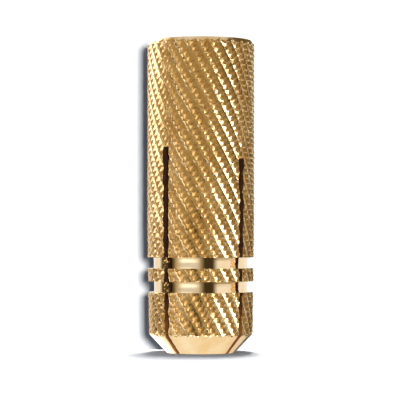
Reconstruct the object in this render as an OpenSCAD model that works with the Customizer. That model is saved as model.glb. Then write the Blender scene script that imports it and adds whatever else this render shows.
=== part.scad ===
// Internally threaded expansion anchor of brass: a knurled sleeve with two grooves,
// a tapered tip and two crossing saw cuts that leave four segments.
// It stands on its tip, with +Z along the axis to the threaded mouth.

/* [Body] */
// Outside diameter over the knurl
body_d = 10; // [9.5:0.1:12]
// Overall length
body_l = 28.8; // [27:0.1:40]
// Width of the chamfer round the mouth, across the end face
mouth_chamfer_w = 0.35; // [0.2:0.05:0.6]
// Height of the chamfer round the mouth
mouth_chamfer_h = 0.45; // [0.2:0.05:1]

/* [Knurl] */
// Pitch of the coarse left-hand ridges, square to the ridges
ridge_pitch = 1; // [0.9:0.05:1.4]
// Angle of the ridges from the axis
ridge_angle = 31.7; // [28:0.1:40]
// Depth of the valleys between the ridges
valley_depth = 0.22; // [0.15:0.01:0.4]
// Depth of the right-hand notches across the ridges, two to a ridge pitch
notch_depth = 0.1; // [0.05:0.01:0.2]
// Height above the tip at which the first notch crosses a valley
crossing_h = 0.4; // [0:0.05:0.45]

/* [Tip] */
// Height of the turned cone at the tip
cone_h = 1.8; // [1:0.1:3]
// Diameter of the flat face at the tip
tip_d = 6.3; // [5.6:0.1:7]
// Height up to which the segments lean inwards
lean_h = 12; // [10:0.5:16]
// Distance that the segments lean inwards at the tip
lean = 0.17; // [0:0.01:0.25]

/* [Grooves] */
// Height of the knurled land under the lower groove
land_top = 5.6; // [4:0.1:8]
// Width of each groove
groove_w = 1; // [0.6:0.1:1.4]
// Depth of each groove below the outside diameter
groove_depth = 0.6; // [0.45:0.05:0.8]
// Width of the knurled band between the grooves
band_w = 1.2; // [0.8:0.1:2]

/* [Saw cuts] */
// Direction of the deeper cut from +X
cut_turn = 49.3; // [0:0.1:90]
// Depth of the deeper cut from the tip
long_cut_l = 18.9; // [15:0.1:21]
// Width of the deeper cut at its blind end
long_cut_w = 0.7; // [0.5:0.05:1]
// Depth of the other cut from the tip
short_cut_l = 17.9; // [15:0.1:21]
// Width of the other cut at its blind end
short_cut_w = 0.6; // [0.5:0.05:1]
// Part of the width that closes up at the tip as the segments lean
cut_closing = 0.25; // [0:0.05:0.35]

/* [Bore] */
// Core diameter of the M8 thread
core_d = 6.8; // [6:0.1:7]
// Depth of the threaded bore from the mouth
core_l = 17; // [12:0.1:20]
// Length of the inner taper below the thread
wedge_l = 5; // [3:0.1:7]
// Diameter of the hole at the tip
tip_bore_d = 4; // [3.2:0.1:4.6]
// Width of the countersink at the mouth
mouth_sink = 0.8; // [0.2:0.05:0.9]

/* [Hidden] */
brass = "#c9a664";
// How far a cut runs past the surface that it opens
past = 1;
// Sides of everything turned
turned_sides = 96;

ridges = round(PI * body_d * cos(ridge_angle) / ridge_pitch);
ridge_turn = 360 / ridges;
// The knurl is a lattice of rows, and a ridge climbs over four rows while it turns by its pitch
row_h = PI * body_d / ridges / (4 * tan(ridge_angle));
// Rows of whole peaks that run on past the tip and the mouth
spare_rows = 3;
first_row = -spare_rows;
last_row = ceil(body_l / row_h) + spare_rows - 2;

// Outside radius at height z, with the lean of the segments
function skin_r(z) = body_d / 2 - lean * max(0, 1 - z / lean_h);

// A point of the skin: turn counts ridges from the valley that starts at +X at the tip,
// and the valleys shift back by a quarter of a ridge in each row of height
function skin_point(turn, row, depth) =
    let (
        z = row * row_h + crossing_h,
        r = skin_r(z) - depth,
        a = (turn - z / row_h / 4) * ridge_turn
    )
    [r * cos(a), r * sin(a), z];

// Place in the list of a point: each row holds a valley point, a notch point and a peak
// for each ridge, and starts one row before the first peaks
function skin_index(row, i, k) =
    3 * ((row - first_row + 1) * ridges + (i + ridges) % ridges) + k;

// The six points round a peak: four crossings on its two valleys, and the two notches' middles
function cell_ring(row, i) = [
    skin_index(row, i, 0),
    skin_index(row + 1, i, 1),
    skin_index(row + 2, i + 1, 0),
    skin_index(row + 1, i + 1, 0),
    skin_index(row, i, 1),
    skin_index(row - 1, i, 0)
];

skin_points = [
    for (row = [first_row - 1 : last_row + 2], i = [0 : ridges - 1], k = [0 : 2])
        k == 0 ? skin_point(i, row, valley_depth)
        : k == 1 ? skin_point(i + 0.5, row, notch_depth)
        : skin_point(i + 0.5, row + 0.5, 0)
];

// Closed skin: six faces round each peak, and a fan of faces from a point on the axis at each end
module knurled_skin() {
    foot = len(skin_points);
    foot_edges = [[first_row, 3], [first_row, 4], [first_row, 5], [first_row + 1, 5]];
    foot_z = (first_row - spare_rows) * row_h;
    head_z = (last_row + 2 * spare_rows) * row_h;
    head_edges = [[last_row, 0], [last_row, 1], [last_row, 2], [last_row - 1, 2]];
    peaks = [
        for (row = [first_row : last_row], i = [0 : ridges - 1], s = [0 : 5])
            let (ring = cell_ring(row, i))
            [skin_index(row, i, 2), ring[s], ring[(s + 1) % 6]]
    ];
    foot_fan = [
        for (i = [0 : ridges - 1], edge = foot_edges)
            let (ring = cell_ring(edge[0], i))
            [foot, ring[(edge[1] + 1) % 6], ring[edge[1]]]
    ];
    head_fan = [
        for (i = [0 : ridges - 1], edge = head_edges)
            let (ring = cell_ring(edge[0], i))
            [foot + 1, ring[(edge[1] + 1) % 6], ring[edge[1]]]
    ];
    polyhedron(
        concat(skin_points, [[0, 0, foot_z], [0, 0, head_z]]),
        concat(peaks, foot_fan, head_fan)
    );
}

// Half section of the turned blank: cone, body and mouth chamfer
module blank() {
    cone_r = skin_r(cone_h);
    top_r = body_d / 2 - mouth_chamfer_w;
    rotate_extrude($fn = turned_sides)
        polygon([
            [0, 0],
            [tip_d / 2, 0],
            [cone_r, cone_h],
            [body_d / 2 + past, cone_h + past],
            [body_d / 2 + past, body_l - mouth_chamfer_h],
            [body_d / 2, body_l - mouth_chamfer_h],
            [top_r, body_l],
            [0, body_l]
        ]);
}

module groove(z) {
    translate([0, 0, z])
        rotate_extrude($fn = turned_sides)
            translate([body_d / 2 - groove_depth, 0])
                square([groove_depth + past, groove_w]);
}

// A saw cut right through the sleeve, running in the direction turn
module saw_cut(turn, l, w) {
    rotate([90, 0, turn + 90])
        linear_extrude(body_d + 2 * past, center = true)
            polygon([
                [-(w - cut_closing) / 2, -past],
                [(w - cut_closing) / 2, -past],
                [w / 2, l],
                [-w / 2, l]
            ]);
}

module bore() {
    rotate_extrude($fn = turned_sides)
        polygon([
            [0, -past],
            [tip_bore_d / 2, -past],
            [tip_bore_d / 2, body_l - core_l - wedge_l],
            [core_d / 2, body_l - core_l],
            [core_d / 2, body_l - mouth_sink],
            [core_d / 2 + mouth_sink + past, body_l + past],
            [0, body_l + past]
        ]);
}

module sleeve() {
    color(brass)
        difference() {
            intersection() {
                blank();
                knurled_skin();
            }
            groove(land_top);
            groove(land_top + groove_w + band_w);
            saw_cut(cut_turn, long_cut_l, long_cut_w);
            saw_cut(cut_turn + 90, short_cut_l, short_cut_w);
            bore();
        }
}

sleeve();
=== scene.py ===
"""Brass expansion anchor: one turned, knurled and sawn sleeve that stands on its slotted tip.

The sleeve is one closed surface, worked out as whole numpy arrays. Rings lie one above another
round the axis, and their points shift a little from ring to ring, so that the edges between
them follow the ridges and notches of the knurl. Lengths are in millimetres until the mesh is
made.
"""

import bpy
import numpy as np
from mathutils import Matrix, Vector


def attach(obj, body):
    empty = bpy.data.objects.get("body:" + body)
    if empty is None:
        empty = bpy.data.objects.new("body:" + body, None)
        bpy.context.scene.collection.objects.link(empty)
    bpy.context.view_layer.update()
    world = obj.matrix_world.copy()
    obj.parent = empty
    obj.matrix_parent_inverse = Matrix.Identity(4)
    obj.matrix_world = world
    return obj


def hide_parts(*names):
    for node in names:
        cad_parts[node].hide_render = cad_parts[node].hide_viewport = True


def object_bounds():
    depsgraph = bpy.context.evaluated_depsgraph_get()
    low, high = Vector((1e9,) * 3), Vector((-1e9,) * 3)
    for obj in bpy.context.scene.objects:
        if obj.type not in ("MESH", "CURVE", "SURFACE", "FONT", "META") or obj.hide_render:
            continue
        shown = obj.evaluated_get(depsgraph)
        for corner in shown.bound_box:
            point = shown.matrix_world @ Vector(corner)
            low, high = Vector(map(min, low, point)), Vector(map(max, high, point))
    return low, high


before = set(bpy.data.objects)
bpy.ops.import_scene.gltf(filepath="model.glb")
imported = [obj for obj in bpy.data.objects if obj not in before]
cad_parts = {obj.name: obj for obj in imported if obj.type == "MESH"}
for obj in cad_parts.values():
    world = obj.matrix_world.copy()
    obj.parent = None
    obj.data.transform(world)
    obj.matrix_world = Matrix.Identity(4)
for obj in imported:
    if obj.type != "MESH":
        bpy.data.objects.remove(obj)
cad_low, cad_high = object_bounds()

MM = 0.001

# Blank
LENGTH = (cad_high - cad_low).z / MM
BODY_R = 4.995
TIP_R = 3.15
CONE_H = 1.8
LEAN_H = 12.0
LEAN = 0.17
CHAMFER_W = 0.35
CHAMFER_H = 0.45
EDGE_BREAK = 0.06

# Knurl: a valley starts at +X at the tip, and CROSSING_H is the height of its first crossing.
# The steep flank has STEEP_SHARE of a valley's width. A facet is finished as notch where the
# notch's depth times NOTCH_SPILL is more than the valley's.
RIDGES = 27
RIDGE_SLOPE = np.tan(np.radians(31.7))
VALLEY_DEPTH = 0.2
NOTCH_DEPTH = 0.13
FACET_SCATTER = 0.014
STEEP_SHARE = 0.375
NOTCH_SPILL = 1.25
ROW_H = 2 * np.pi * BODY_R / RIDGES / (4 * RIDGE_SLOPE)
CROSSING_H = 0.4

# Grooves
LAND_TOP = 5.6
GROOVE_W = 1.0
GROOVE_DEPTH = 0.6
BAND_W = 1.2
UPPER_FOOT = LAND_TOP + GROOVE_W + BAND_W
EDGES = (LAND_TOP, LAND_TOP + GROOVE_W, UPPER_FOOT, UPPER_FOOT + GROOVE_W)
GROOVE_SAG = 0.022

# Saw cuts: direction in degrees, depth from the tip, width at the blind end. They are narrower
# by CUT_CLOSING at the tip. The first cut drifts by FIRST_CUT_SHARE of SAW_DRIFT, and the second
# by a whole one more. From a SAW_DRIFT of 0.1 up, some edges of the surface stay open.
CUTS = ((49.3, 18.9, 0.7), (139.3, 17.9, 0.66))
CUT_CLOSING = 0.25
SAW_DRIFT = 0.08
SAW_RAG = 0.04
FIRST_CUT_SHARE = 0.3

# Waves of the wander: their lengths and how much each adds
WAVES = (8.0, 3.7, 1.7, 0.9, 0.55)
WAVE_SHARES = (0.3, 0.25, 0.25, 0.25, 0.2)

# Bore
CORE_R = 3.4
MAJOR_R = 4.0
THREAD_PITCH = 1.25
THREAD_FOOT = 11.8
THREAD_FLANK = 3.0
THREAD_FLAT = 0.35
WEDGE_L = 5.0
TIP_BORE_R = 2.0
MOUTH_SINK = 0.8

# Grid: a ring nearer than ROW_CLEAR of a step to the end of its stretch is left out
PER_RIDGE = 8
ROW_CLEAR = 0.3
COLUMNS = RIDGES * PER_RIDGE
STEP = ROW_H * 2 / PER_RIDGE
RIDGE_TURN = 2 * np.pi / RIDGES

# Finishes, in the order of the materials, and how soon a valley's flank takes full painted shade as it
# gets deeper
SKIN, FLOOR, TURNED, SAWN, INNER, NOTCH, BURR = range(7)
PAINTED_SHADE_GAIN = 1.4
rng = np.random.default_rng(7)


def skin_limit(z):
    """Outside radius: the body's, less the lean of the segments, which grows in a straight line
    from LEAN_H down to the tip."""
    return BODY_R - LEAN * np.clip(1 - z / LEAN_H, 0, None)


def vee(x):
    """1 at whole values of x and 0 half way between, in straight lines."""
    return 1 - 2 * np.abs(x - np.round(x))


def painted_highlight_lines(theta, z):
    """1 along the bottoms of both sets of grooves and 0 on the flanks between them. The colour is left
    pale along these bottoms as a painted highlight.
    """
    depths = knurl_depths(theta, z)
    valley, notch = (depth / deepest for depth, deepest in zip(depths, (VALLEY_DEPTH, NOTCH_DEPTH)))
    notch = notch * (notch * NOTCH_DEPTH > valley * VALLEY_DEPTH)
    return np.clip(np.maximum(valley, notch) * 4 - 3, 0, 1)


def knurl_depths(theta, z):
    """Depths below the peaks of two sets of V grooves. Valleys follow whole values of
    a = turn + z / ROW_H / 4, and their flank after it is steeper and takes STEEP_SHARE of the
    width. Notches, half as wide, follow whole values of b = 2 a - (z - CROSSING_H) / ROW_H."""
    a = theta / RIDGE_TURN + z / ROW_H / 4
    b = 2 * a - (z - CROSSING_H) / ROW_H
    across = np.mod(a, 1)
    valley = np.maximum(1 - across / STEEP_SHARE, (across - STEEP_SHARE) / (1 - STEEP_SHARE))
    return VALLEY_DEPTH * valley, NOTCH_DEPTH * vee(b)


def outer_radius(theta, z, kind):
    """Smallest of the knurled skin, the cone at the tip, the chamfer at the mouth and the broken
    edges at the grooves. A groove's floor sags between its walls by GROOVE_SAG (1 - s^2), where
    s runs from -1 to 1 across it."""
    knurled = skin_limit(z) - np.maximum(*knurl_depths(theta, z))
    cone = TIP_R + (skin_limit(CONE_H) - TIP_R) * z / CONE_H
    chamfer = BODY_R - CHAMFER_W * (1 - (LENGTH - z) / CHAMFER_H)
    nearest = np.min([np.abs(z - edge) for edge in EDGES], axis=0)
    broken = skin_limit(z) - np.clip(EDGE_BREAK - nearest, 0, None)
    skin = np.minimum(np.minimum(knurled, cone), np.minimum(chamfer, broken))
    upper = z > LAND_TOP + GROOVE_W + BAND_W / 2
    across = 2 * (z - np.where(upper, EDGES[2], EDGES[0])) / GROOVE_W - 1
    floor = skin_limit(z) - GROOVE_DEPTH + GROOVE_SAG * across ** 2
    return np.where(kind == FLOOR, floor, skin)


def inner_radius(theta, z):
    """Hole at the tip, straight taper, then the thread: a V with flats that winds up to the right
    once in each pitch. The countersink at the mouth is wider than the thread where it ends."""
    phase = np.mod(z / THREAD_PITCH - theta / (2 * np.pi), 1)
    rise = np.clip((0.5 - np.abs(phase - 0.5)) * THREAD_FLANK - THREAD_FLAT, 0, 1)
    run_in = np.clip((z - THREAD_FOOT) / THREAD_PITCH, 0, 1)
    thread = CORE_R + (MAJOR_R - CORE_R) * rise * run_in
    taper = TIP_BORE_R + (CORE_R - TIP_BORE_R) * (z - THREAD_FOOT + WEDGE_L) / WEDGE_L
    below = np.clip(taper, TIP_BORE_R, CORE_R)
    sink = CORE_R + MOUTH_SINK - (LENGTH - z)
    return np.maximum(np.where(z > THREAD_FOOT, thread, below), sink)


def stretch(low, high, extra=()):
    """Heights of the rings from low to high: both ends, the knurl's own rows between them and
    any extra ones."""
    first = np.ceil((low - CROSSING_H) / STEP + ROW_CLEAR)
    last = np.floor((high - CROSSING_H) / STEP - ROW_CLEAR)
    rows = CROSSING_H + np.arange(first, last + 1) * STEP
    inside = [z for z in extra if low < z < high]
    return np.unique(np.concatenate([[low, high], rows, inside]).round(6))


def outer_rings():
    """Height and kind of each ring, from the tip up: skin, groove, band, groove, skin."""
    edges = [0, *EDGES, LENGTH]
    extra = [CONE_H, LENGTH - CHAMFER_H]
    extra += [edge + side * EDGE_BREAK for edge, side in zip(EDGES, (-1, 1, -1, 1))]
    parts = [stretch(low, high, extra) for low, high in zip(edges, edges[1:])]
    kinds = [np.full(len(p), FLOOR if i % 2 else SKIN) for i, p in enumerate(parts)]
    return np.concatenate(parts), np.concatenate(kinds)


def ring_angles(z, columns):
    """Angle of each point: the columns lean with the knurl's valleys."""
    share = np.arange(columns) * (COLUMNS // columns) / PER_RIDGE
    return (share[None, :] - z[:, None] / ROW_H / 4) * RIDGE_TURN


def wander(z, number):
    """Random waves along z, between about -1 and 1: the sum of share * sin(2 pi z / length + phase)
    over WAVES. The number chooses the phases."""
    local = np.random.default_rng(number)
    waves = [np.sin(2 * np.pi * z / length + local.uniform(0, 6.3)) for length in WAVES]
    return np.dot(WAVE_SHARES, waves)


def cut_edges(z):
    """For each arm of the saw cuts: its angle, the distance of its left and right edge from the
    middle at height z, and whether it reaches that height. A cut narrows in a straight line
    towards the tip, drifts to and fro as a whole, and each edge is ragged on its own."""
    for number, (turn, depth, width) in enumerate(CUTS):
        half = (width - CUT_CLOSING * (1 - np.clip(z / depth, 0, 1))) / 2
        for arm in (0, 180):
            drift = (number + FIRST_CUT_SHARE) * SAW_DRIFT * wander(z, 10 * number + arm + 2)
            left, right = (drift + SAW_RAG * wander(z, 10 * number + arm + side) for side in (0, 1))
            yield np.radians(turn + arm), (left - half, right + half), z <= depth + 1e-6


def snap(theta, z, radius_at):
    """Moves the point nearest to each cut's edge onto that edge, at angle + arcsin(offset / r),
    where a few rounds settle r. Returns the mask of points in a cut or on its edge, and for each
    arm the left and right edge's columns and the rows that it reaches."""
    columns = theta.shape[1]
    per_turn = columns / (2 * np.pi)
    lean = z / ROW_H / 4 * RIDGE_TURN
    cut = np.zeros(theta.shape, bool)
    arms = []
    for angle, edges, reaches in cut_edges(z):
        sides = []
        for offset in edges:
            at = angle + np.arcsin(offset / BODY_R)
            column = np.floor((at + lean) * per_turn + 0.5).astype(int)
            edge = at
            for _ in range(3):
                edge = angle + np.arcsin(offset / radius_at(edge))
            rows = np.flatnonzero(reaches)
            turns = np.floor_divide(column, columns)[rows]
            theta[rows, column[rows] % columns] = edge[rows] - turns * 2 * np.pi
            sides.append(column)
        rows = np.flatnonzero(reaches)
        for offset in range(int((sides[1] - sides[0]).max()) + 1):
            inside = rows[(sides[0] + offset <= sides[1])[rows]]
            cut[inside, (sides[0][inside] + offset) % columns] = True
        arms.append((sides[0] % columns, sides[1] % columns, rows))
    return cut, arms


def keep(tris, marked):
    """Triangles that don't lie wholly in a cut."""
    return tris[~marked[tris].all(axis=1)]


def strip(lower, upper):
    """Triangles between two rings with as many points: each square is split along the notches."""
    right_low, right_up = np.roll(lower, -1), np.roll(upper, -1)
    one = np.stack([lower, right_low, right_up], -1)
    two = np.stack([lower, right_up, upper], -1)
    return np.concatenate([one, two])


def halving(fine, coarse):
    """Triangles between a ring and one with half its points."""
    even, odd, after = fine[0::2], fine[1::2], np.roll(fine[0::2], -1)
    following = np.roll(coarse, -1)
    return np.concatenate([
        np.stack([even, odd, coarse], -1),
        np.stack([odd, following, coarse], -1),
        np.stack([odd, after, following], -1),
    ])


def sleeve_arrays():
    """The sleeve as points, triangles, the finish of each triangle and the painted shade of each point,
    which grows with how deep it lies below the skin: knurl valleys, groove floors, cone and chamfer
    are darkened by it, and the bore takes it in full. The skin has twice the columns of the bore.
    Both have their rings at the same heights, so that the walls of the saw cuts join them row by row."""
    z_out, kind = outer_rings()
    z_in = np.unique(z_out)
    level = np.searchsorted(z_in, z_out)
    theta_out = ring_angles(z_out, COLUMNS)
    theta_in = ring_angles(z_in, COLUMNS // 2)
    cut_out, arms_out = snap(theta_out, z_out, lambda t: outer_radius(t, z_out, kind))
    cut_in, arms_in = snap(theta_in, z_in, lambda t: inner_radius(t, z_in))
    r_out = outer_radius(theta_out, z_out[:, None], kind[:, None])
    r_in = inner_radius(theta_in, z_in[:, None])
    # How deep each point lies below the skin, in valley depths. It sets the painted shade below.
    depth = (skin_limit(z_out)[:, None] - r_out) / VALLEY_DEPTH
    knurled = (kind == SKIN) & (z_out > CONE_H) & (z_out < LENGTH - CHAMFER_H)
    r_out -= FACET_SCATTER * np.abs(rng.normal(size=r_out.shape)) * knurled[:, None] * ~cut_out

    def points(r, theta, z):
        """x = r cos theta and y = r sin theta, as one list of points."""
        return np.stack([r * np.cos(theta), r * np.sin(theta),
                         np.broadcast_to(z[:, None], r.shape)], -1).reshape(-1, 3)

    outer = np.arange(r_out.size).reshape(r_out.shape)
    inner = np.arange(r_in.size).reshape(r_in.shape) + r_out.size
    marked = np.concatenate([cut_out.ravel(), cut_in.ravel()])
    faces, finish = [], []

    def add(tris, what):
        """Keeps triangles of one finish."""
        faces.append(tris)
        finish.append(np.full(len(tris), what))

    for i in range(len(z_out) - 1):
        what = kind[i] if kind[i] == kind[i + 1] else TURNED
        if what == SKIN and (z_out[i + 1] <= CONE_H or z_out[i] >= LENGTH - CHAMFER_H):
            what = TURNED
        add(keep(strip(outer[i], outer[i + 1]), marked), what)
    for i in range(len(z_in) - 1):
        add(keep(strip(inner[i], inner[i + 1]), marked)[:, ::-1], INNER)
    add(keep(halving(outer[-1], inner[-1]), marked), TURNED)
    add(keep(halving(outer[0], inner[0]), marked)[:, ::-1], TURNED)

    for (left_o, right_o, rows), (left_i, right_i, _) in zip(arms_out, arms_in):
        low, high = rows[:-1], rows[1:]
        for side_o, side_i, flip in ((left_o, left_i, 1), (right_o, right_i, -1)):
            a, b = outer[low, side_o[low]], outer[high, side_o[high]]
            c = inner[level[low], side_i[level[low]]]
            d = inner[level[high], side_i[level[high]]]
            wall = np.concatenate([np.stack([a, c, d], -1), np.stack([a, d, b], -1)])
            wall = wall[(wall[:, 0] != wall[:, 1]) & (wall[:, 1] != wall[:, 2])]
            add(wall[:, ::flip], SAWN)
        top = rows[-1]
        lid = halving(outer[top], inner[level[top]])
        inside = marked[lid].all(axis=1)
        own = np.zeros(len(marked), bool)
        span = np.arange((right_o[top] - left_o[top]) % COLUMNS + 1)
        own[outer[top, (left_o[top] + span) % COLUMNS]] = True
        half = COLUMNS // 2
        span = np.arange((right_i[level[top]] - left_i[level[top]]) % half + 1)
        own[inner[level[top], (left_i[level[top]] + span) % half]] = True
        add(lid[inside & own[lid].all(axis=1)][:, ::-1], SAWN)

    co = np.concatenate([points(r_out, theta_out, z_out), points(r_in, theta_in, z_in)])
    tris, finish = np.concatenate(faces), np.concatenate(finish)
    x, y, z = co[tris].mean(axis=1).T
    valley, notch = knurl_depths(np.arctan2(y, x), z)
    finish[(finish == SKIN) & (notch * NOTCH_SPILL > valley)] = NOTCH
    used = np.unique(tris)
    renumber = np.full(len(co), -1)
    renumber[used] = np.arange(len(used))
    # Painted shade grows with depth below the skin. Along the knurl's groove bottoms it is taken off
    # again, so they stay pale as a painted highlight. The bore is painted shade in full.
    flanks = 1 - painted_highlight_lines(theta_out, z_out[:, None]) * knurled[:, None]
    painted_shade_out = np.clip(depth * PAINTED_SHADE_GAIN, 0, 1) * flanks
    painted_shade = np.concatenate([painted_shade_out.ravel(), np.ones(r_in.size)])
    return co[used], renumber[tris], finish, painted_shade[used]


def burr_arrays():
    """Flakes that the saw has pushed up beside its cuts, each a closed four-faced splinter that
    stands a little in the surface. They crowd on the groove floors, next to the shorter cut most
    of all; a few line the cut in the knurl, and some stand over its blind end."""
    spots = []
    for number, (turn, depth, width) in enumerate(CUTS):
        for arm in (0, 180):
            zones = [(EDGES[i], EDGES[i + 1], FLOOR, 12 + 70 * number, 0.6, 0.13) for i in (0, 2)]
            zones += [(CONE_H, depth, SKIN, 110, 0.05, 0.045), (depth, depth + 0.1, SKIN, 26, 0, 0.06)]
            for low, high, kind, count, reach, size in zones:
                z = rng.uniform(low + 0.04, high, count)
                half = (width - CUT_CLOSING * (1 - np.clip(z / depth, 0, 1))) / 2
                side = -1 if kind == FLOOR else rng.choice([-1, 1], count)
                beside = side * (half + 0.04 + reach * rng.random(count))
                if not reach:
                    beside = rng.uniform(-1.2, 1.2, count) * half
                theta = np.radians(turn + arm) + beside / BODY_R
                radius = outer_radius(theta, z, np.full(count, kind))
                spots.append(np.stack([theta, z, radius, size * rng.uniform(0.4, 1.2, count)], -1))
    theta, z, radius, size = np.concatenate(spots).T
    turned = rng.uniform(0, 2 * np.pi, len(z))[:, None] + np.radians([0, 120, 240])
    stretched = size[:, None] * rng.uniform(0.6, 1.4, (len(z), 3))
    along = np.concatenate([stretched * np.cos(turned), rng.normal(0, 0.02, (len(z), 1))], 1)
    up = np.concatenate([stretched * np.sin(turned), rng.normal(0, 0.02, (len(z), 1))], 1)
    out = radius[:, None] + np.stack([-size * 0.4] * 3 + [size * 0.7], -1)
    out = np.minimum(out, BODY_R - 0.01)
    at = theta[:, None] + along / radius[:, None]
    co = np.stack([out * np.cos(at), out * np.sin(at), z[:, None] + up], -1).reshape(-1, 3)
    own = np.array([[0, 2, 1], [0, 1, 3], [1, 2, 3], [2, 0, 3]])
    tris = (own[None] + 4 * np.arange(len(z))[:, None, None]).reshape(-1, 3)
    return co, tris, np.full(len(tris), BURR), np.zeros(len(co))


def joined(one, two):
    """Two sets of points, triangles, finishes and painted shade as one."""
    shifted = two[1] + len(one[0])
    return [np.concatenate(pair) for pair in zip(one, (two[0], shifted, two[2], two[3]))]


def make_mesh(name, co, tris, finish, painted_shade, materials):
    """Puts the arrays into a mesh object at the origin, in metres. The knurl and the burrs keep
    flat facets, and what the lathe and the saw made is smooth up to its edges."""
    mesh = bpy.data.meshes.new(name)
    mesh.vertices.add(len(co))
    mesh.vertices.foreach_set("co", (co * MM).astype(np.float32).ravel())
    mesh.loops.add(tris.size)
    mesh.loops.foreach_set("vertex_index", tris.astype(np.int32).ravel())
    mesh.polygons.add(len(tris))
    mesh.polygons.foreach_set("loop_start", np.arange(0, tris.size, 3, dtype=np.int32))
    for material in materials:
        mesh.materials.append(material)
    mesh.polygons.foreach_set("material_index", finish.astype(np.int32))
    mesh.update(calc_edges=True)
    mesh.validate()
    mesh.polygons.foreach_set("use_smooth", ~np.isin(finish, (SKIN, NOTCH, BURR)))
    # Painted shade of each point, which the brass materials read to darken their colour
    mesh.attributes.new("painted_shade", "FLOAT", "POINT").data.foreach_set("value", painted_shade)
    mesh.set_sharp_from_angle(angle=np.radians(35))
    piece = bpy.data.objects.new(name, mesh)
    bpy.context.scene.collection.objects.link(piece)
    return piece


# Materials ------------------------------------------------------------------------------------

def linear(code):
    """An sRGB hex colour as linear red, green, blue and alpha."""
    parts = [int(code[i:i + 2], 16) / 255 for i in (1, 3, 5)]
    return [c / 12.92 if c <= 0.04045 else ((c + 0.055) / 1.055) ** 2.4 for c in parts] + [1]


def node(tree, kind, links=(), **settings):
    """Adds a node, sets its properties and sockets by name, and links what is given to it."""
    new = tree.nodes.new(kind)
    for key, value in settings.items():
        if hasattr(new, key):
            setattr(new, key, value)
        else:
            new.inputs[key.replace("_", " ")].default_value = value
    for socket, source in links:
        tree.links.new(source, new.inputs[socket])
    return new


def brass(name, pale, deep, roughness, lines=0.0, grain=0.0, patch=0.5, upward_shade=0.0, metallic=1.0):
    """Bare brass. Its colour goes from pale to deep in soft patches and, as painted shade, in the
    recesses. Its gloss varies with them, and fine bumps are grain (equal all round) or lines (rings
    left by the tool). A dark brown can also be mixed in, in patches, as painted shade that is absent
    at the tip and full from 5 mm up."""
    material = bpy.data.materials.new(name)
    material.use_nodes = True
    tree = material.node_tree
    shader = tree.nodes["Principled BSDF"]
    shader.inputs["Metallic"].default_value = metallic
    where = node(tree, "ShaderNodeTexCoord").outputs["Object"]

    def noise(per_mm, detail, rough=0.5):
        """Noise with its cells per mm given along x, y and z."""
        place = node(tree, "ShaderNodeMapping", [(0, where)])
        place.inputs["Scale"].default_value = [n / MM for n in per_mm]
        return node(tree, "ShaderNodeTexNoise", [("Vector", place.outputs[0])],
                    Scale=1, Detail=detail, Roughness=rough).outputs["Fac"]

    def spread(value, low, high, to_low=0.0, to_high=1.0):
        """Value from low to high, moved in a straight line to run from to_low to to_high."""
        map_range = node(tree, "ShaderNodeMapRange", [(0, value)])
        for socket, number in zip((1, 2, 3, 4), (low, high, to_low, to_high)):
            map_range.inputs[socket].default_value = number
        return map_range.outputs[0]

    def mixed(share, one, two):
        """Colour from one to two; each is a hex code or a colour socket."""
        mix = node(tree, "ShaderNodeMix", [(0, share)], data_type="RGBA")
        for socket, colour in ((6, one), (7, two)):
            if isinstance(colour, str):
                mix.inputs[socket].default_value = linear(colour)
            else:
                tree.links.new(colour, mix.inputs[socket])
        return mix.outputs[2]

    patches = noise((0.5, 0.5, 0.35), 3)
    # Deep colour comes from random patches and from each point's painted shade. That shade is darker in
    # recesses and pale along the knurl's groove bottoms as a painted highlight.
    painted_shade = node(tree, "ShaderNodeAttribute", attribute_name="painted_shade").outputs["Fac"]
    depth = node(tree, "ShaderNodeMath", [(0, painted_shade), (1, patches)], operation="MULTIPLY")
    tint = node(tree, "ShaderNodeMath", [(0, spread(patches, 0.35, 0.7, 0, patch)), (1, depth.outputs[0])],
                operation="ADD", use_clamp=True)
    colour = mixed(tint.outputs[0], pale, deep)
    # Painted shade: a dark brown in patches, none at the tip and in full from 5 mm up, so that the slot
    # walls and the bore darken upwards.
    if upward_shade:
        height = node(tree, "ShaderNodeSeparateXYZ", [(0, where)]).outputs["Z"]
        upward_shade_share = spread(noise((2.5, 2.5, 1.5), 4, 0.6), 0.3, 0.65, upward_shade * 0.88, upward_shade)
        above_tip_share = spread(height, 0, 5 * MM, 0, 1)
        upward_shade_share = node(tree, "ShaderNodeMath", [(0, upward_shade_share), (1, above_tip_share)], operation="MULTIPLY").outputs[0]
        colour = mixed(upward_shade_share, colour, "#33211d")
    tree.links.new(colour, shader.inputs["Base Color"])
    tree.links.new(spread(noise((3, 3, 3), 2), 0.3, 0.7, roughness * 0.75, roughness * 1.3),
                   shader.inputs["Roughness"])
    height = None
    if grain:
        height = spread(noise((9, 9, 9), 3, 0.6), 0, 1, 0, grain)
    if lines:
        rings = spread(noise((0.15, 0.15, 14), 2, 0.6), 0, 1, 0, lines)
        height = rings if height is None else node(
            tree, "ShaderNodeMath", [(0, height), (1, rings)], operation="ADD").outputs[0]
    bump = node(tree, "ShaderNodeBump", [("Height", height)], Strength=1, Distance=MM)
    tree.links.new(bump.outputs[0], shader.inputs["Normal"])
    return material


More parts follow.
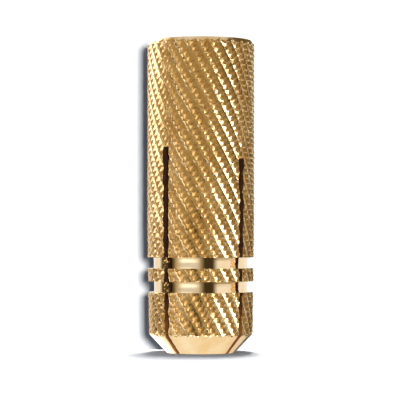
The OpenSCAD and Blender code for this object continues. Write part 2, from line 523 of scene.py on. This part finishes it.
materials = [
    # Pressed between hard rollers: bright facets with a fine crushed grain, and a deeper colour in the
    # valleys that is painted shade
    brass("brass_rolled_knurl", "#f2d4a0", "#dab072", 0.2, grain=0.002, patch=0.4),
    # Cut with a square tool: almost a mirror, with fine rings across the reflections
    brass("brass_polished_groove", "#fbe2b8", "#f2d09a", 0.06, lines=0.003, patch=0.3),
    # Faced and chamfered in the lathe: satin, with rings
    brass("brass_turned_face", "#fae0b0", "#ecc486", 0.17, lines=0.003, patch=0.5),
    # Cut by a slitting saw: rough and orange-brown. It is darker higher up as painted shade, so the lower
    # slot keeps a lighter orange as painted reflected light
    brass("brass_sawn_painted_shade", "#d8904a", "#a8622c", 0.45, lines=0.01, grain=0.01, upward_shade=1.0,
          metallic=0.35),
    # Drilled and tapped: satin, darker than the outside as painted shade inside the hole, and a little
    # darker again from 5 mm up as painted shade
    brass("brass_tapped_bore", "#e2b878", "#b98448", 0.28, lines=0.004, upward_shade=0.15),
    # Crushed by the second pass of the rollers: the same brass, duller, and darker as painted shade in the
    # notches
    brass("brass_crushed_notch", "#d8ac68", "#b0803c", 0.45, grain=0.004, patch=0.5),
    # Torn up by the saw: bright and orange
    brass("brass_torn_burr", "#f6cf86", "#dc9a4a", 0.45, grain=0.004, patch=0.7,
          metallic=0.2),
]
sleeve = make_mesh("knurled_sleeve", *joined(sleeve_arrays(), burr_arrays()), materials)
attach(sleeve, "root")
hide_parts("sleeve")


# Stage: sheets, light tent, lamps, world and camera --------------------------------------------

# The card stands just clear of the sleeve's back and takes its shadow
CARD_Y = 5.03


def plane(name, corners, material):
    """A sheet of the stage. It takes shadows, but it isn't reflected in the sleeve, and it gives it
    no light or shadow."""
    mesh = bpy.data.meshes.new(name)
    mesh.from_pydata([Vector(c) * MM for c in corners], [], [(0, 1, 2, 3)])
    mesh.materials.append(material)
    thing = bpy.data.objects.new(name, mesh)
    bpy.context.scene.collection.objects.link(thing)
    thing.visible_glossy = thing.visible_diffuse = thing.visible_shadow = False


def paper(name):
    """White paper that can't be seen from behind."""
    material = bpy.data.materials.new(name)
    material.use_nodes = True
    tree = material.node_tree
    shader = tree.nodes["Principled BSDF"]
    shader.inputs["Base Color"].default_value = linear("#f4f4f4")
    shader.inputs["Roughness"].default_value = 0.9
    facing = node(tree, "ShaderNodeNewGeometry")
    clear = node(tree, "ShaderNodeBsdfTransparent")
    mix = node(tree, "ShaderNodeMixShader", [
        (0, facing.outputs["Backfacing"]), (1, shader.outputs[0]), (2, clear.outputs[0])])
    tree.links.new(mix.outputs[0], tree.nodes["Material Output"].inputs["Surface"])
    return material


plane("floor", [(-90, -90, 0), (90, -90, 0), (90, 60, 0), (-90, 60, 0)], paper("white_floor"))
plane("card", [(-30, CARD_Y, 0), (30, CARD_Y, 0), (30, CARD_Y, 42), (-30, CARD_Y, 42)],
      paper("white_card"))


def smooth(x, low, high, soft):
    """1 between low and high, with a soft edge outside."""
    return np.clip((x - low) / soft + 1, 0, 1) * np.clip((high - x) / soft + 1, 0, 1)


# Light tent: azimuth and elevation in degrees of each panel as the sleeve sees it, from left to
# right and from low to high, its strength, and how wide its soft edge is across and up. Below 1
# a panel is a shade of the amber surroundings, and above it is white. The panels are placed for
# the front view, so they don't give a plain light: the brass looks paler and flatter without them.
PANELS = (
    (96, 180, -90, 90, 0.34, 46, 10),
    (-180, -124, 12, 60, 3.5, 10, 10),
    (-180, -140, -40, 90, 5.5, 10, 10),
    (-180, 180, -90, -46, 2.4, 8, 8),
    (128, 180, -46, -27, 2.2, 4, 4),
    (-180, 180, 60, 90, 1.7, 8, 8),
    (37, 180, -7, 7, 2.3, 8, 3),
    (-180, -106, -9, 9, 2.3, 6, 6),
    (-135, -84, -23, -12, 4.5, 2, 2),
    (-108, -72, -10, 10, 0.2, 12, 3),
    (-46, -12, -10, 10, 1.7, 22, 3),
    (-42, -18, -9, -5, 3.4, 16, 2),
    (-48, -30, 5, 9, 2.8, 14, 2),
    (10, 28, -14, 14, 0.12, 15, 4),
    (-16, 42, -35, -24, 15.0, 3, 3),
    (-120, -80, 14, 23, 6.5, 24, 3),
)


def tent(radius, rows, columns):
    """A sphere round the sleeve whose points carry the brightness of the panel that they lie in.
    Only reflections see it, and not those that light the floor or the card again. It stands
    between the sleeve and the world, so direct reflections show the tent and not the world."""
    el = np.linspace(-90, 90, rows)[:, None]
    az = np.linspace(-180, 180, columns, endpoint=False)[None, :]
    level = np.tile(AMBIENT, (rows, columns, 1)).astype(float)
    for left, right, low, high, strength, across, up in PANELS:
        share = (smooth(az, left, right, across) * smooth(el, low, high, up))[..., None]
        level += (strength * np.array(AMBIENT if strength < 1 else WHITE) - level) * share
    e, a = np.radians(el), np.radians(az)
    co = np.stack([np.cos(e) * np.sin(a), -np.cos(e) * np.cos(a),
                   np.broadcast_to(np.sin(e), (rows, columns))], -1).reshape(-1, 3) * radius
    grid = np.arange(rows * columns).reshape(rows, columns)
    quads = np.stack([grid[:-1], grid[1:], np.roll(grid[1:], -1, 1), np.roll(grid[:-1], -1, 1)], -1)
    mesh = bpy.data.meshes.new("light_tent")
    mesh.from_pydata(co * MM, [], quads.reshape(-1, 4).tolist())
    light = np.concatenate([level, np.ones((rows, columns, 1))], -1)
    mesh.attributes.new("level", "FLOAT_COLOR", "POINT").data.foreach_set("color", light.ravel())
    material = bpy.data.materials.new("tent_cloth")
    material.use_nodes = True
    tree = material.node_tree
    tree.nodes.clear()
    cloth = node(tree, "ShaderNodeAttribute", attribute_name="level")
    bounced = node(tree, "ShaderNodeLightPath").outputs["Diffuse Depth"]
    direct = node(tree, "ShaderNodeMath", [(1, bounced)], operation="SUBTRACT", use_clamp=True)
    direct.inputs[0].default_value = 1
    glow = node(tree, "ShaderNodeEmission", [
        ("Color", cloth.outputs["Color"]), ("Strength", direct.outputs[0])])
    node(tree, "ShaderNodeOutputMaterial", [("Surface", glow.outputs[0])])
    mesh.materials.append(material)
    thing = bpy.data.objects.new("light_tent", mesh)
    bpy.context.scene.collection.objects.link(thing)
    thing.location = Vector(MIDDLE) * MM
    thing.visible_camera = thing.visible_diffuse = thing.visible_shadow = False


def lamp(name, place, aim, size, power):
    """A white soft box in mm and watts, turned to its aim and left out of reflections."""
    data = bpy.data.lights.new(name, "AREA")
    data.shape = "RECTANGLE"
    data.size, data.size_y = (s * MM for s in size)
    data.energy = power
    light = bpy.data.objects.new(name, data)
    light.location = Vector(place) * MM
    light.rotation_euler = (Vector(place) - Vector(aim)).to_track_quat("Z", "Y").to_euler()
    bpy.context.scene.collection.objects.link(light)
    light.visible_camera = light.visible_glossy = False


MIDDLE = (0, 0, 14)
AMBIENT = (0.45, 0.356, 0.185)
WHITE = (0.44, 0.455, 0.49)
FILL = (0.10, 0.12, 0.16)
tent(400, 181, 360)
lamp("key", (34, -250, 26), MIDDLE, (34, 34), 0.78)
lamp("top", (5, 40, 250), (0, 0, 0), (24, 60), 0.72)

world = bpy.data.worlds.new("studio")
bpy.context.scene.world = world
world.use_nodes = True
tree = world.node_tree
path = node(tree, "ShaderNodeLightPath")
seen = path.outputs["Is Camera Ray"]
for kind in ("Is Glossy Ray", "Is Transmission Ray"):
    seen = node(tree, "ShaderNodeMath", [(0, seen), (1, path.outputs[kind])],
                operation="MAXIMUM").outputs[0]
shade = node(tree, "ShaderNodeMix", [(0, seen)], data_type="RGBA")
shade.inputs[6].default_value = (*FILL, 1)
shade.inputs[7].default_value = (1, 1, 1, 1)
tree.links.new(shade.outputs[2], tree.nodes["Background"].inputs["Color"])

camera_data = bpy.data.cameras.new("camera")
camera_data.lens = 181.8
camera_data.sensor_width = 36
camera_data.shift_y = 0.1
camera_data.clip_start = 0.01
camera = bpy.data.objects.new("camera", camera_data)
camera.location = Vector((-0.074, -187, 10.4)) * MM
camera.rotation_euler = (np.pi / 2, 0, 0)
bpy.context.scene.collection.objects.link(camera)
bpy.context.scene.camera = camera
bpy.context.scene.view_settings.view_transform = "Standard"
